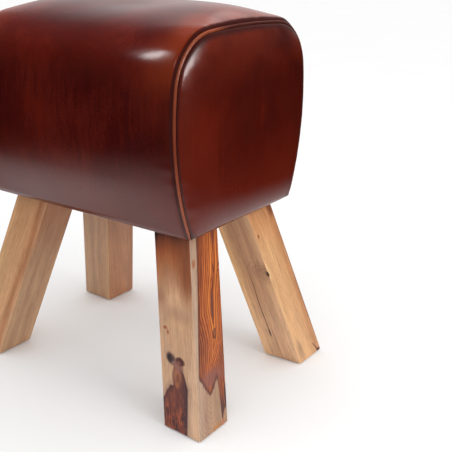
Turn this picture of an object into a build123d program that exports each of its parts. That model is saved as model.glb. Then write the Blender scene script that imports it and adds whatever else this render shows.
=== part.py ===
"""Leather-covered pommel-horse stool: a padded loaf-shaped body on four splayed wooden legs.

Millimetres, +Z up. The origin is on the floor under the middle of the stool. The long side of
the body runs along X and the stool is symmetric about the XZ and YZ planes. "right" is +X,
"front" is -Y.
"""

import os
from math import asin, atan2, cos, degrees, radians, sin, sqrt

from build123d import *

# Overall size
stool_height = 500.0
body_bottom = 241.0  # underside of the upholstered body

# Cross-section of the body at its two end seams
seam_top = 481.5
seam_half_width = 139.5  # at the widest height
widest_height = 373.8
bottom_half_width = 111.7
shoulder_radius = 69.0
side_lean_in = 7.9  # how far the sides lean in where they meet the shoulders, degrees
end_x = 166.3  # frame, side foam and leather wrap all end here

# Padding swells towards the middle of the length
side_swell = 8.0
swell_power = 6.0
loft_stations = (-1.0, -0.93, -0.8, -0.5, 0.0, 0.5, 0.8, 0.93, 1.0)

# Upholstery
leather = 2.0
welt_radius = 2.5
welt_cord_radius = 1.5
welt_flange_thickness = 1.6
welt_flange_width = 9.0
welt_inset = 0.8  # how far the welt's centre lies inside the leather surface
panel_inset = 3.5  # edge of the end panel, just inside the welt
panel_depth = 14.6  # how far the padded end stands out past the welt flange
panel_edge_radius = 12.0
side_hem_inner = 90.5  # the turned-under leather reaches in to here
end_hem_inner = 151.0
hem_gap = 1.0  # between the turned-under end and side hems
cover_thickness = 0.8
cover_half_length = 161.0
cover_half_width = 105.0
cover_leg_gap = 3.0

# Carcass
frame_bottom = body_bottom + leather
frame_half_width = 103.0
rail_thickness = 25.0
rail_height = 45.0
deck_bottom = 432.0
deck_thickness = 12.0
deck_half_width = 120.0
side_board_thickness = 6.0
end_former_thickness = 15.0
centre_former_thickness = 12.0
beam_length = 65.0
beam_height = 35.0

# Legs, leaning outwards along X and along Y
leg_section = 56.5
lean_x = 0.261  # sideways travel for each unit of height
lean_y = 0.250
leg_top_corner = (150.2, 87.2)  # outer corner of the leg at the underside of the body
leg_edge_radius = 1.5
stick_reach = 1.3 * body_bottom  # length of uncut stick each way, before the level cuts
pad_radius = 19.0
pad_thickness = 2.0

# Fasteners
bolt_radius = 5.0
bolt_depth = 48.0
bolt_stand_up = 15.0
washer_radius = 14.0
washer_thickness = 2.5
nut_flats = 17.0
nut_thickness = 8.0
dowel_radius = 5.0
dowel_length = 50.0
dowel_offset = 14.0
screw_radius = 2.0
screw_head_radius = 4.0
frame_screw_length = 45.0
deck_screw_length = 40.0
rail_screw_heights = (0.3, 0.75)  # shares of the rail's height
beam_screw_y = 30.0
deck_screw_y = 75.0
staple_crown = 10.0
staple_leg = 8.0
staple_wire = 0.8
staple_pitch = 36.0
hem_staple_line = (154.5, 93.5)  # distance of each row from the middle, along X and Y
hem_staple_counts = (8, 3)  # staples in each row along X and in each row along Y
cover_staple_line = (158.0, 99.0)
cover_staple_counts = (9, 5)

RIGHT_LEFT = {"right": 1, "left": -1}
BACK_FRONT = {"back": 1, "front": -1}

rail_top = frame_bottom + rail_height
deck_top = deck_bottom + deck_thickness
rail_inner = frame_half_width - rail_thickness
rail_end = end_x - end_former_thickness


def write(builder, name):
    """Labels a finished piece and writes its STEP file."""
    builder.part.label = name
    export_step(builder.part, f"parts/{name}.step")


def body_outline(inset=0.0, rise=0.0, swell=0.0, bottom=body_bottom, mode=Mode.ADD):
    """Puts the loaf-shaped cross-section into the current sketch, local x across and y up."""
    top = seam_top + rise
    narrowing = seam_half_width + swell - bottom_half_width
    drop = widest_height - body_bottom
    side_radius = (drop**2 + narrowing**2) / (2 * narrowing)
    lean = radians(side_lean_in)
    lean_arm = side_radius - shoulder_radius
    shoulder_x = seam_half_width + swell - side_radius + lean_arm * cos(lean)
    shoulder_z = widest_height + lean_arm * sin(lean)
    crown_angle = 2 * degrees(atan2(top - shoulder_z - shoulder_radius, shoulder_x))
    crown_radius = shoulder_x / sin(radians(crown_angle)) + shoulder_radius
    foot_angle = degrees(asin((widest_height - bottom) / (side_radius - inset)))
    with BuildLine() as outline:
        crown = JernArc((0, top - inset), (1, 0), crown_radius - inset, -crown_angle)
        shoulder = JernArc(
            crown @ 1,
            crown % 1,
            shoulder_radius - inset,
            crown_angle + side_lean_in - 90,
        )
        side = JernArc(
            shoulder @ 1,
            shoulder % 1,
            side_radius - inset,
            -side_lean_in - foot_angle,
        )
        Line(side @ 1, (0, bottom))
        mirror(about=Plane.YZ)
    make_face(outline.edges(), mode=mode)


def padded_body(inset, bottom):
    """The swelling upholstered body between its end seams, shrunk by inset."""
    with BuildPart() as body:
        for station in loft_stations:
            share = 1 - abs(station) ** swell_power
            with BuildSketch(Plane.YZ.offset(station * end_x)):
                body_outline(
                    inset,
                    share * (stool_height - seam_top),
                    share * side_swell,
                    bottom,
                )
        loft()
    return body.part


def carcass_side(top):
    """Half-width of the carcass's outer face at a height above the rails."""
    slope = (deck_half_width - frame_half_width) / (deck_top - rail_top)
    return frame_half_width + slope * (top - rail_top)


def carcass_outline(board):
    """Section of the space between the two side boards, from the rails up to the deck."""
    low = frame_half_width - board
    high = carcass_side(deck_bottom) - board
    Polygon(
        (-low, rail_top),
        (low, rail_top),
        (high, deck_bottom),
        (-high, deck_bottom),
        align=None,
    )


# ------------------------------------------------------------------ legs and their hardware

leg_top = frame_bottom
cut_half = 0.5 * leg_section * sqrt(1 + max(lean_x, lean_y) ** 2)
leg_top_centre = (leg_top_corner[0] - cut_half, leg_top_corner[1] - cut_half)
foot_travel = body_bottom - pad_thickness
foot_centre = (
    leg_top_centre[0] + lean_x * foot_travel,
    leg_top_centre[1] + lean_y * foot_travel,
)
bolt_places = [
    (sx * leg_top_centre[0], sy * leg_top_centre[1])
    for sx in RIGHT_LEFT.values()
    for sy in BACK_FRONT.values()
]
dowel_places = [
    (
        sx * (leg_top_centre[0] + dowel_offset),
        sy * (leg_top_centre[1] + dowel_offset),
    )
    for sx in RIGHT_LEFT.values()
    for sy in BACK_FRONT.values()
]


def vertical_rods(places, radius, low, high):
    """Upright round bars at the given places."""
    with BuildPart() as rods:
        with Locations(*[(x, y, low) for x, y in places]):
            Cylinder(
                radius, high - low, align=(Align.CENTER, Align.CENTER, Align.MIN)
            )
    return rods


leg_bolts = vertical_rods(
    bolt_places,
    bolt_radius,
    leg_top - bolt_depth,
    frame_bottom + beam_height + bolt_stand_up,
)
leg_dowels = vertical_rods(
    dowel_places, dowel_radius, leg_top - dowel_length / 2, leg_top + dowel_length / 2
)


def leg(side_x, side_y):
    """One square leg: a straight stick, leaning both ways, with level cuts at both ends."""
    axis = Vector(side_x * lean_x, side_y * lean_y, -1)
    start = Vector(side_x * leg_top_centre[0], side_y * leg_top_centre[1], body_bottom)
    stick = Plane(origin=start, x_dir=Vector(1, 0, side_x * lean_x), z_dir=axis)
    with BuildPart() as piece:
        with BuildSketch(stick):
            Rectangle(leg_section, leg_section)
        extrude(amount=stick_reach, both=True)
        fillet(piece.edges().filter_by(Axis(start, axis)), leg_edge_radius)
        split(bisect_by=Plane.XY.offset(leg_top), keep=Keep.BOTTOM)
        split(bisect_by=Plane.XY.offset(pad_thickness), keep=Keep.TOP)
        add(leg_bolts.part, mode=Mode.SUBTRACT)
        add(leg_dowels.part, mode=Mode.SUBTRACT)
    return piece


def felt_pads():
    """Round felt pads stuck under the four feet."""
    places = [
        (sx * foot_centre[0], sy * foot_centre[1])
        for sx in RIGHT_LEFT.values()
        for sy in BACK_FRONT.values()
    ]
    return vertical_rods(places, pad_radius, 0, pad_thickness)


def leg_washers():
    """Plain washers on top of the leg beams."""
    low = frame_bottom + beam_height
    with BuildPart() as washers:
        with BuildSketch(Plane.XY.offset(low)):
            with Locations(*bolt_places):
                Circle(washer_radius)
                Circle(bolt_radius, mode=Mode.SUBTRACT)
        extrude(amount=washer_thickness)
    return washers


def leg_nuts():
    """Hexagon nuts that pull the legs up against the beams."""
    low = frame_bottom + beam_height + washer_thickness
    with BuildPart() as nuts:
        with BuildSketch(Plane.XY.offset(low)):
            with Locations(*bolt_places):
                RegularPolygon(nut_flats / 2, 6, major_radius=False)
                Circle(bolt_radius, mode=Mode.SUBTRACT)
        extrude(amount=nut_thickness)
    return nuts


# ------------------------------------------------------------------ screws


def countersunk_screws(places, length):
    """Countersunk screws whose heads face along each place's local +Z."""
    with BuildPart() as screws:
        with Locations(*places):
            Cone(
                screw_radius,
                screw_head_radius,
                screw_head_radius - screw_radius,
                align=(Align.CENTER, Align.CENTER, Align.MAX),
            )
            Cylinder(
                screw_radius, length, align=(Align.CENTER, Align.CENTER, Align.MAX)
            )
    return screws


def frame_screw_places():
    """Screws through each end former into the side rails and the leg beam."""
    rail_centre = frame_half_width - rail_thickness / 2
    pattern = [
        (side * rail_centre, frame_bottom + rail_height * share)
        for side in (-1, 1)
        for share in rail_screw_heights
    ]
    pattern += [(side * beam_screw_y, frame_bottom + beam_height / 2) for side in (-1, 1)]
    return [
        Location((sx * end_x, y, z), (0, sx * 90, 0))
        for sx in RIGHT_LEFT.values()
        for y, z in pattern
    ]


def deck_screw_places():
    """Screws through the deck into the upper edges of the three formers."""
    end_row = end_x - end_former_thickness / 2
    return [
        Location((x, y, deck_top))
        for x in (-end_row, 0, end_row)
        for y in (-deck_screw_y, 0, deck_screw_y)
    ]


frame_screws = countersunk_screws(frame_screw_places(), frame_screw_length)
deck_screws = countersunk_screws(deck_screw_places(), deck_screw_length)


# ------------------------------------------------------------------ staples


def centred_row(count):
    """Evenly pitched places on both sides of the middle."""
    return [staple_pitch * (step - (count - 1) / 2) for step in range(count)]


def staple_places(line, counts):
    """Where a rectangle of staples goes: two rows along X and two along Y."""
    far_x, far_y = line
    along = centred_row(counts[0])
    across = centred_row(counts[1])
    rows = [(x, side * far_y, 0) for side in (-1, 1) for x in along]
    rows += [(side * far_x, y, 90) for side in (-1, 1) for y in across]
    return rows


def staple_rows(line, counts, crown_bottom):
    """U-shaped staples driven upwards, their crowns at the given height."""
    with BuildPart() as staples:
        for x, y, turn in staple_places(line, counts):
            with Locations(Location((x, y, crown_bottom), (0, 0, turn))):
                Box(
                    staple_crown,
                    staple_wire,
                    staple_leg,
                    align=(Align.CENTER, Align.CENTER, Align.MIN),
                )
                with Locations((0, 0, staple_wire)):
                    Box(
                        staple_crown - 2 * staple_wire,
                        2 * staple_wire,
                        staple_leg,
                        align=(Align.CENTER, Align.CENTER, Align.MIN),
                        mode=Mode.SUBTRACT,
                    )
    return staples


hem_staples = staple_rows(
    hem_staple_line,
    hem_staple_counts,
    body_bottom - staple_wire,
)
cover_staples = staple_rows(
    cover_staple_line,
    cover_staple_counts,
    body_bottom - cover_thickness - staple_wire,
)


# ------------------------------------------------------------------ carcass


def side_rail(side_y):
    """Solid wood rail along one bottom edge of the carcass."""
    middle = frame_half_width - rail_thickness / 2
    with BuildPart() as rail:
        with Locations((0, side_y * middle, frame_bottom)):
            Box(
                2 * rail_end,
                rail_thickness,
                rail_height,
                align=(Align.CENTER, Align.CENTER, Align.MIN),
            )
        for fastener in (frame_screws, hem_staples, cover_staples):
            add(fastener.part, mode=Mode.SUBTRACT)
    return rail


def leg_beam(side_x):
    """Cross beam between the rails that two legs are bolted to."""
    with BuildPart() as beam:
        with Locations((side_x * (rail_end - beam_length / 2), 0, frame_bottom)):
            Box(
                beam_length,
                2 * rail_inner,
                beam_height,
                align=(Align.CENTER, Align.CENTER, Align.MIN),
            )
        for fastener in (leg_bolts, leg_dowels, frame_screws):
            add(fastener.part, mode=Mode.SUBTRACT)
    return beam


def former(middle_x, thickness, foot_half_width):
    """Upright plywood former: its foot stands between or across the rails."""
    with BuildPart() as board:
        with BuildSketch(Plane.YZ.offset(middle_x - thickness / 2)):
            carcass_outline(side_board_thickness)
            with Locations((0, frame_bottom)):
                Rectangle(
                    2 * foot_half_width,
                    rail_height,
                    align=(Align.CENTER, Align.MIN),
                )
        extrude(amount=thickness)
        for fastener in (frame_screws, deck_screws, hem_staples, cover_staples):
            add(fastener.part, mode=Mode.SUBTRACT)
    return board


def side_board(side_y):
    """Thin plywood side, leaning out from the rail to the deck."""
    low, high = frame_half_width, carcass_side(deck_bottom)
    with BuildPart() as board:
        with BuildSketch(Plane.YZ.offset(-end_x)):
            Polygon(
                (side_y * low, rail_top),
                (side_y * high, deck_bottom),
                (side_y * (high - side_board_thickness), deck_bottom),
                (side_y * (low - side_board_thickness), rail_top),
                align=None,
            )
        extrude(amount=2 * end_x)
    return board


def deck():
    """Plywood seat board on top of the formers."""
    with BuildPart() as board:
        with Locations((0, 0, deck_bottom)):
            Box(
                2 * end_x,
                2 * carcass_side(deck_bottom),
                deck_thickness,
                align=(Align.CENTER, Align.CENTER, Align.MIN),
            )
        add(deck_screws.part, mode=Mode.SUBTRACT)
    return board


# ------------------------------------------------------------------ padding

foam_body = padded_body(leather, frame_bottom)


def foam_top():
    """Seat foam on the deck, rounded over at both shoulders."""
    with BuildPart() as foam:
        add(foam_body)
        split(bisect_by=Plane.XY.offset(deck_top), keep=Keep.TOP)
    return foam


def foam_side(side_y):
    """Side foam from the bottom edge up to the level of the deck."""
    outer = Plane.XZ if side_y < 0 else -Plane.XZ
    with BuildPart() as foam:
        add(foam_body)
        split(bisect_by=Plane.XY.offset(deck_top), keep=Keep.BOTTOM)
        split(bisect_by=outer, keep=Keep.TOP)
        with BuildSketch(Plane.YZ.offset(-end_x)):
            with BuildLine():
                Polyline(
                    (0, frame_bottom),
                    (frame_half_width, frame_bottom),
                    (frame_half_width, rail_top),
                    (carcass_side(deck_bottom), deck_bottom),
                    (carcass_side(deck_bottom), deck_top),
                    (0, deck_top),
                )
                mirror(about=Plane.YZ)
            make_face()
        extrude(amount=2 * end_x, mode=Mode.SUBTRACT)
    return foam


def end_bulge(side_x, inset, depth, edge_radius, bottom):
    """A padded end: the body's outline pushed out from the welt and rounded at its rim."""
    start = side_x * (end_x + welt_flange_thickness)
    with BuildPart() as bulge:
        with BuildSketch(Plane.YZ.offset(start)):
            body_outline(inset, bottom=bottom)
        extrude(amount=side_x * depth)
        rim = bulge.faces().sort_by(Axis.X)[-1 if side_x > 0 else 0]
        fillet(rim.edges(), edge_radius)
    return bulge.part


def end_filling(side_x):
    """The space inside the leather of a padded end."""
    return end_bulge(
        side_x,
        panel_inset + leather,
        panel_depth - leather,
        panel_edge_radius - leather,
        frame_bottom,
    )


def foam_end(side_x):
    """End foam behind the end panel, let in past the welt's flange to the end former."""
    filling = end_filling(side_x)
    with BuildPart() as foam:
        add(filling)
        with BuildSketch(Plane.YZ.offset(side_x * end_x)):
            body_outline(welt_inset + welt_flange_width, bottom=frame_bottom)
        extrude(amount=side_x * welt_flange_thickness)
    return foam


# ------------------------------------------------------------------ leather


def leather_wrap():
    """The one-piece hide over both sides and the seat, turned under at the bottom edges."""
    outside = padded_body(0, body_bottom)
    with BuildPart() as hide:
        add(outside)
        add(foam_body, mode=Mode.SUBTRACT)
        with Locations((0, 0, body_bottom)):
            Box(2 * end_x, 2 * side_hem_inner, 2 * leather, mode=Mode.SUBTRACT)
        for staples in (hem_staples, cover_staples):
            add(staples.part, mode=Mode.SUBTRACT)
    return hide


def leather_end(side_x):
    """Padded end panel, with a hem turned under the end former."""
    inner = end_x + welt_flange_thickness
    outside = end_bulge(side_x, panel_inset, panel_depth, panel_edge_radius, body_bottom)
    filling = end_filling(side_x)
    with BuildPart() as panel:
        add(outside)
        add(filling, mode=Mode.SUBTRACT)
        with Locations((side_x * (end_hem_inner + inner) / 2, 0, body_bottom)):
            Box(
                inner - end_hem_inner,
                2 * (side_hem_inner - hem_gap),
                leather,
                align=(Align.CENTER, Align.CENTER, Align.MIN),
            )
        for staples in (hem_staples, cover_staples):
            add(staples.part, mode=Mode.SUBTRACT)
    return panel


def welt_path(side_x):
    """Centreline of the welt, from one bottom corner over the top to the other."""
    with BuildSketch(Plane.YZ.offset(side_x * (end_x + welt_radius))) as loop:
        body_outline(welt_inset, bottom=frame_bottom)
    return Wire(loop.sketch.edges().filter_by(GeomType.LINE, reverse=True))


def welt_rod(side_x, radius):
    """A round bar along the welt's centreline."""
    path = welt_path(side_x)
    with BuildPart() as rod:
        with BuildSketch(Plane(origin=path @ 0, z_dir=path % 0)):
            Circle(radius)
        sweep(path=path)
    return rod


def welt(side_x):
    """Folded leather welt: a tube round its cord, with a flange sewn into the seam."""
    tube = welt_rod(side_x, welt_radius)
    cord = welt_rod(side_x, welt_cord_radius)
    with BuildPart() as strip:
        add(tube.part)
        with BuildSketch(Plane.YZ.offset(side_x * end_x)):
            body_outline(welt_inset, bottom=frame_bottom)
            body_outline(
                welt_inset + welt_flange_width,
                bottom=frame_bottom,
                mode=Mode.SUBTRACT,
            )
        extrude(amount=side_x * welt_flange_thickness)
        add(cord.part, mode=Mode.SUBTRACT)
    return strip


# ------------------------------------------------------------------ underside


def leg_clearance(grow):
    """The four legs' cross-section at the underside, grown all round."""
    size = 2 * (cut_half + grow)
    for x, y in bolt_places:
        with Locations((x, y)):
            Rectangle(size, size)


def dust_cover():
    """Black non-woven cloth under the frame, cut out round the legs."""
    with BuildPart() as cover:
        with BuildSketch(Plane.XY.offset(body_bottom - cover_thickness)):
            Rectangle(2 * cover_half_length, 2 * cover_half_width)
        extrude(amount=cover_thickness)
        with BuildSketch(Plane.XY.offset(body_bottom - cover_thickness)):
            leg_clearance(cover_leg_gap)
        extrude(amount=cover_thickness, mode=Mode.SUBTRACT)
        for staples in (hem_staples, cover_staples):
            add(staples.part, mode=Mode.SUBTRACT)
    return cover


def main():
    """Builds every piece and writes it."""
    os.makedirs("parts", exist_ok=True)
    for x_name, side_x in RIGHT_LEFT.items():
        for y_name, side_y in BACK_FRONT.items():
            write(leg(side_x, side_y), f"leg_{y_name}_{x_name}")
        write(leg_beam(side_x), f"leg_beam_{x_name}")
        middle = side_x * (end_x - end_former_thickness / 2)
        write(
            former(middle, end_former_thickness, frame_half_width),
            f"end_former_{x_name}",
        )
        write(foam_end(side_x), f"foam_end_{x_name}")
        write(leather_end(side_x), f"leather_end_{x_name}")
        write(welt(side_x), f"welt_{x_name}")
        write(welt_rod(side_x, welt_cord_radius), f"welt_cord_{x_name}")
    for y_name, side_y in BACK_FRONT.items():
        write(side_rail(side_y), f"side_rail_{y_name}")
        write(side_board(side_y), f"side_board_{y_name}")
        write(foam_side(side_y), f"foam_side_{y_name}")
    write(former(0, centre_former_thickness, rail_inner), "centre_former")
    write(deck(), "deck")
    write(foam_top(), "foam_top")
    write(leather_wrap(), "leather_wrap")
    write(dust_cover(), "dust_cover")
    write(felt_pads(), "felt_pads")
    write(leg_bolts, "leg_bolts")
    write(leg_dowels, "leg_dowels")
    write(leg_washers(), "leg_washers")
    write(leg_nuts(), "leg_nuts")
    write(frame_screws, "frame_screws")
    write(deck_screws, "deck_screws")
    write(hem_staples, "hem_staples")
    write(cover_staples, "cover_staples")


main()
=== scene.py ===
"""Looks of the pommel-horse stool: glazed leather cushions, piped seams and two-tone hardwood legs.

Metres, in the CAD frame: origin on the floor under the middle, +Z up, +X right, -Y front.
"""

import math

import bmesh
import bpy
import numpy as np
from mathutils import Matrix, Vector, noise


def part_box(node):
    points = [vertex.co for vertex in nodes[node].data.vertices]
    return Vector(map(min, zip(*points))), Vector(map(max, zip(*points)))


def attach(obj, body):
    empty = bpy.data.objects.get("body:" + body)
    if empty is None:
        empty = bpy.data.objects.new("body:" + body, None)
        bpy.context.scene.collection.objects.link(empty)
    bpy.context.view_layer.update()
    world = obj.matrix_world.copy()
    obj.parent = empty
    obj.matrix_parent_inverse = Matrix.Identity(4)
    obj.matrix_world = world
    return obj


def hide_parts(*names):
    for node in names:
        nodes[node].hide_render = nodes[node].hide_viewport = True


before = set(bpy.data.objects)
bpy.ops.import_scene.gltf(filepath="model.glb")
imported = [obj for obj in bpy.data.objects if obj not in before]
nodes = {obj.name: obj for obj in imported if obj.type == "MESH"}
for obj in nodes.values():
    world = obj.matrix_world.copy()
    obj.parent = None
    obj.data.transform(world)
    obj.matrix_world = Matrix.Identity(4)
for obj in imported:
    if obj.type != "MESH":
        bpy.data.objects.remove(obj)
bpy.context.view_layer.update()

RIGHT, LEFT = 1, -1
BACK, FRONT = 1, -1

# ---------- sizes read from the frame

wrap_low, wrap_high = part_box("leather_wrap")
welt_low, welt_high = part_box("welt_right")
panel_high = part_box("leather_end_right")[1]
cover_low, cover_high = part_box("dust_cover")

BODY_BOTTOM = wrap_low.z
BODY_TOP = wrap_high.z
END_X = wrap_high.x
WELT_RADIUS = (welt_high.x - welt_low.x) / 2
WELT_INSET = 0.0008  # how far the CAD welt's centre lies inside the seam's outline
SEAM_TOP = welt_high.z - WELT_RADIUS + WELT_INSET
SEAM_HALF_WIDTH = welt_high.y - WELT_RADIUS + WELT_INSET
MID_HALF_WIDTH = wrap_high.y
PANEL_FACE_X = panel_high.x

# ---------- shape of the padding

WIDEST_HEIGHT = 0.3738
BOTTOM_HALF_WIDTH = 0.1117
SHOULDER_RADIUS = 0.069
SIDE_LEAN_IN = math.radians(7.9)  # of the side, where the shoulder starts
LEATHER = 0.002
LEG_HALF = 0.0292

SWELL_POWER = 5  # the higher, the closer to the ends the swell keeps its height
TOP_SWELL_POWER = 10
WRAP_SWELL = 0.0055  # how far the wrap rises slowly towards its middle
WRAP_PILLOW = 0.0016  # and how far it rises quickly, right by the seam
WRAP_ROLL = 0.005  # within this distance
TOP_PILLOW = 0.0024  # on top it bulges more, over the seam
TOP_ROLL = 0.0030
WRAP_DIVE = 0.002  # how far its edge dips into the seam
WRAP_PUCKER = 0.0006  # gathers by the seam
WRAP_SLACK = 0.0008  # loose waves elsewhere
SEAT_DENT = 0.0022  # a shallow dent where people sit
DENT_MIDDLE = (0.03, -0.035)
DENT_REACH = (0.05, 0.03)
HEM_WIDTH = 0.0205
HEM_TUCK = 0.0004  # how far the rounded bottom edge leans in
BOTTOM_EDGE_RADIUS = 0.004

PANEL_FOOT_X = END_X + 0.0032  # where the end panel rises from
PANEL_RIM_INSET = 0.0032
PANEL_MIDDLE = (0.0, 0.36)
PANEL_SIDE_ROLL = 0.058  # it is full this far from the welt
PANEL_BOTTOM_ROLL = 0.045  # and this far from the bottom edge
PANEL_SLACK = 0.0008
PANEL_PUCKER = 0.0007
PANEL_LEATHER = 0.0018
PANEL_HEM = 0.014

COVER_CLOTH = 0.0006
COVER_SAG = 0.002
COVER_LEG_GAP = 0.003
COVER_DROP = 0.0002  # how far its edges lie below the body

WELT_SINK = 0.0018  # how far the welt's centre lies inside the seam's outline
WELT_SHOWN_RADIUS = 0.0020


def outline(top, half_width, inset=0.0):
    """Points (y, z) of half the loaf-shaped section, from the top to the back bottom corner."""
    narrowing = half_width - BOTTOM_HALF_WIDTH
    drop = WIDEST_HEIGHT - BODY_BOTTOM
    side_radius = (drop**2 + narrowing**2) / (2 * narrowing)
    arm = side_radius - SHOULDER_RADIUS
    shoulder_y = half_width - side_radius + arm * math.cos(SIDE_LEAN_IN)
    shoulder_z = WIDEST_HEIGHT + arm * math.sin(SIDE_LEAN_IN)
    crown = 2 * math.atan2(top - shoulder_z - SHOULDER_RADIUS, shoulder_y)
    crown_radius = shoulder_y / math.sin(crown) + SHOULDER_RADIUS
    steep = math.pi / 2 - SIDE_LEAN_IN
    last = math.pi / 2 + math.asin(drop / (side_radius - inset))
    arcs = (
        (0.0, top - crown_radius, crown_radius, 0.0, crown, 60),
        (shoulder_y, shoulder_z, SHOULDER_RADIUS, crown, steep, 90),
        (half_width - side_radius, WIDEST_HEIGHT, side_radius, steep, last, 91),
    )
    points = []
    for y, z, radius, start, end, count in arcs:
        reach = radius - inset
        for angle in np.linspace(start, end, count, endpoint=end == last):
            points.append((y + reach * math.sin(angle), z + reach * math.cos(angle)))
    return np.array(points)


def whole_outline(top, half_width, inset=0.0):
    """The section from the front bottom corner over the top to the back bottom corner."""
    half = outline(top, half_width, inset)
    front = half[::-1] * (-1, 1)
    return np.vstack([front[:-1], half])


def resample(points, count):
    """Evenly spaced points along a polyline."""
    steps = np.linalg.norm(np.diff(points, axis=0), axis=1)
    along = np.concatenate([[0], np.cumsum(steps)])
    wanted = np.linspace(0, along[-1], count)
    return np.column_stack([np.interp(wanted, along, points[:, k]) for k in (0, 1)])


def normals_2d(points):
    """Unit normals of an open polyline in the plane, pointing outwards from the body."""
    tangents = np.gradient(points, axis=0)
    outward = np.column_stack([-tangents[:, 1], tangents[:, 0]])
    return outward / np.linalg.norm(outward, axis=1)[:, None]


def smoothstep(low, high, value):
    """0 below low, 1 above high and smooth between."""
    share = np.clip((value - low) / (high - low), 0, 1)
    return share * share * (3 - 2 * share)


def new_mesh(name, points, faces, material, smooth=True):
    """A mesh object from points and faces."""
    data = bpy.data.meshes.new(name)
    data.from_pydata([tuple(p) for p in points], [], faces)
    data.validate()
    data.update()
    piece = bpy.data.objects.new(name, data)
    bpy.context.scene.collection.objects.link(piece)
    data.materials.append(material)
    if smooth:
        data.polygons.foreach_set("use_smooth", [True] * len(data.polygons))
    return piece


def grid_faces(rows, columns, close_columns=False):
    """Quads over a grid of points stored row by row."""
    faces = []
    for row in range(rows - 1):
        for column in range(columns if close_columns else columns - 1):
            after = (column + 1) % columns
            here, below = row * columns, (row + 1) * columns
            faces.append((here + column, here + after, below + after, below + column))
    return faces


def thicken(piece, thickness):
    """Gives a leather or cloth surface its thickness, inwards."""
    solid = piece.modifiers.new("thickness", "SOLIDIFY")
    solid.thickness = thickness
    solid.offset = -1.0
    solid.use_rim = True
    return piece


# ---------- a short way to write shaders


def operation(name):
    """A method that feeds a field, and perhaps another value, to a math node."""
    return lambda field, *others: field.graph.math(name, field, *others)


class Field:
    """A number that varies over a surface: the output of a node."""

    def __init__(self, graph, value):
        self.graph = graph
        self.value = value

    __add__ = operation("ADD")
    __sub__ = operation("SUBTRACT")
    __mul__ = operation("MULTIPLY")
    __truediv__ = operation("DIVIDE")
    __abs__ = operation("ABSOLUTE")
    least = operation("MINIMUM")
    most = operation("MAXIMUM")
    root = operation("SQRT")
    sine = operation("SINE")

    def __rsub__(self, other):
        return self.graph.math("SUBTRACT", other, self)

    def squared(self):
        return self * self

    def wave(self):
        """Sine, from 0 to 1, once for each whole unit."""
        return (self * (2 * math.pi)).sine() * 0.5 + 0.5

    def step(self, low, high):
        """0 below low, 1 above high and smooth between; low may be above high."""
        node = self.graph.add("ShaderNodeMapRange", interpolation_type="SMOOTHSTEP")
        self.graph.fill(node, Value=self, From_Min=low, From_Max=high)
        return Field(self.graph, node.outputs["Result"])


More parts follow.
